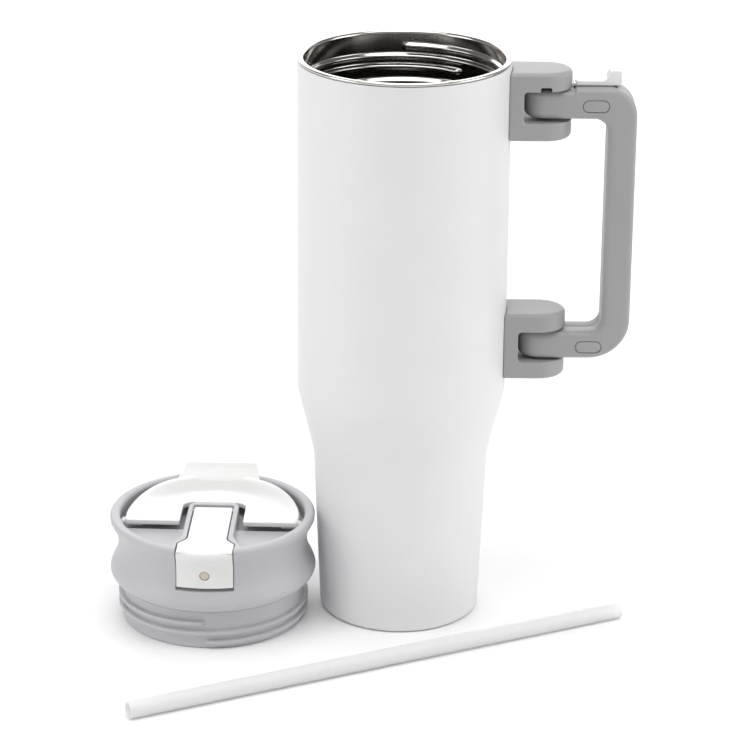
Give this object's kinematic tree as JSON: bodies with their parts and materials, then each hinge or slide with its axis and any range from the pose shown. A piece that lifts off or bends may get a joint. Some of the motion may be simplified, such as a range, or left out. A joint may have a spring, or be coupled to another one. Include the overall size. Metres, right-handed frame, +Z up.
{
  "type": "insulated tumbler with lid",
  "caption": "Vacuum-insulated steel tumbler with a stepped base and a swing handle, its screw lid with a flip cover and a straw flap standing beside it, and a loose drinking straw.",
  "frame": {"origin": "centre of the tumbler's base, on the surface it stands on", "axes": "+Z up along the tumbler's axis, +X from the axis to the handle, -Y to the front. The lid stands on the same surface at -X, and the straw lies on it in front"},
  "size_m": [0.2455, 0.1799, 0.272],
  "materials": {
    "powder_coat": "satin powder coat on stainless steel",
    "bare_steel": "polished stainless steel",
    "getter_metal": "sintered getter tablet",
    "solder_glass": "fused glass bead",
    "grey_plastic": "fine-textured moulded polypropylene",
    "lid_plastic": "satin moulded polypropylene",
    "white_plastic": "semi-gloss moulded copolyester",
    "silicone": "matte silicone rubber",
    "bush_plastic": "natural acetal",
    "clear_plastic": "translucent polypropylene"
  },
  "bodies": {
    "tumbler": {"outer_shell": "powder_coat", "inner_liner": "bare_steel", "base_plate": "powder_coat", "vacuum_seal_bead": "solder_glass", "getter_holder": "bare_steel", "vacuum_getter": "getter_metal", "upper_bracket": "grey_plastic", "upper_weld_plate": "bare_steel", "upper_hinge_pin": "bare_steel", "upper_pin_cap": "grey_plastic", "upper_bracket_screw_front": "bare_steel", "upper_bracket_screw_rear": "bare_steel", "lower_bracket": "grey_plastic", "lower_weld_plate": "bare_steel", "lower_hinge_pin": "bare_steel", "lower_pin_cap": "grey_plastic", "lower_bracket_screw_front": "bare_steel", "lower_bracket_screw_rear": "bare_steel"},
    "handle": {"handle_front_shell": "grey_plastic", "handle_rear_shell": "grey_plastic", "upper_bush": "bush_plastic", "upper_handle_screw": "bare_steel", "upper_oval_plug": "grey_plastic", "lower_bush": "bush_plastic", "lower_handle_screw": "bare_steel", "lower_oval_plug": "grey_plastic", "lock_detent_spring": "bare_steel"},
    "lock": {"lock_slider": "white_plastic"},
    "lid": {"lid_body": "lid_plastic", "lid_gasket": "silicone", "lid_underplate": "lid_plastic", "straw_grommet": "silicone", "cover_pin_left": "bare_steel", "cover_pin_right": "bare_steel", "flap_pin": "bare_steel"},
    "cover": {"flip_cover": "white_plastic", "cover_seal": "silicone"},
    "flap": {"front_flap": "white_plastic", "flap_plug": "silicone", "flap_gate_plug": "bush_plastic"},
    "straw": {"straw": "clear_plastic"}
  },
  "joints": [
    {"name": "handle_swing", "type": "hinge", "parent": "tumbler", "child": "handle", "pos_m": [0.0642, 0, 0], "axis": [0, 0, 1], "range_deg": [-90, 90]},
    {"name": "lock_slide", "type": "slide", "parent": "handle", "child": "lock", "axis": [1, 0, 0], "range_m": [-0.0013, 0.0017]},
    {"name": "lid_lift", "type": "slide", "parent": "tumbler", "child": "lid", "axis": [-0.5, 0, 0.866], "range_m": [0, 0.25]},
    {"name": "cover_flip", "type": "hinge", "parent": "lid", "child": "cover", "pos_m": [-0.08938, -0.0177, 0.0474], "axis": [0.9994, -0.0349, 0], "range_deg": [0, 95]},
    {"name": "flap_flip", "type": "hinge", "parent": "lid", "child": "flap", "pos_m": [-0.08902, -0.0073, 0.0491], "axis": [0.9994, -0.0349, 0], "range_deg": [-105, 0]},
    {"name": "straw_lift", "type": "slide", "parent": "tumbler", "child": "straw", "axis": [0, 0, 1], "range_m": [0, 0.3]}
  ]
}
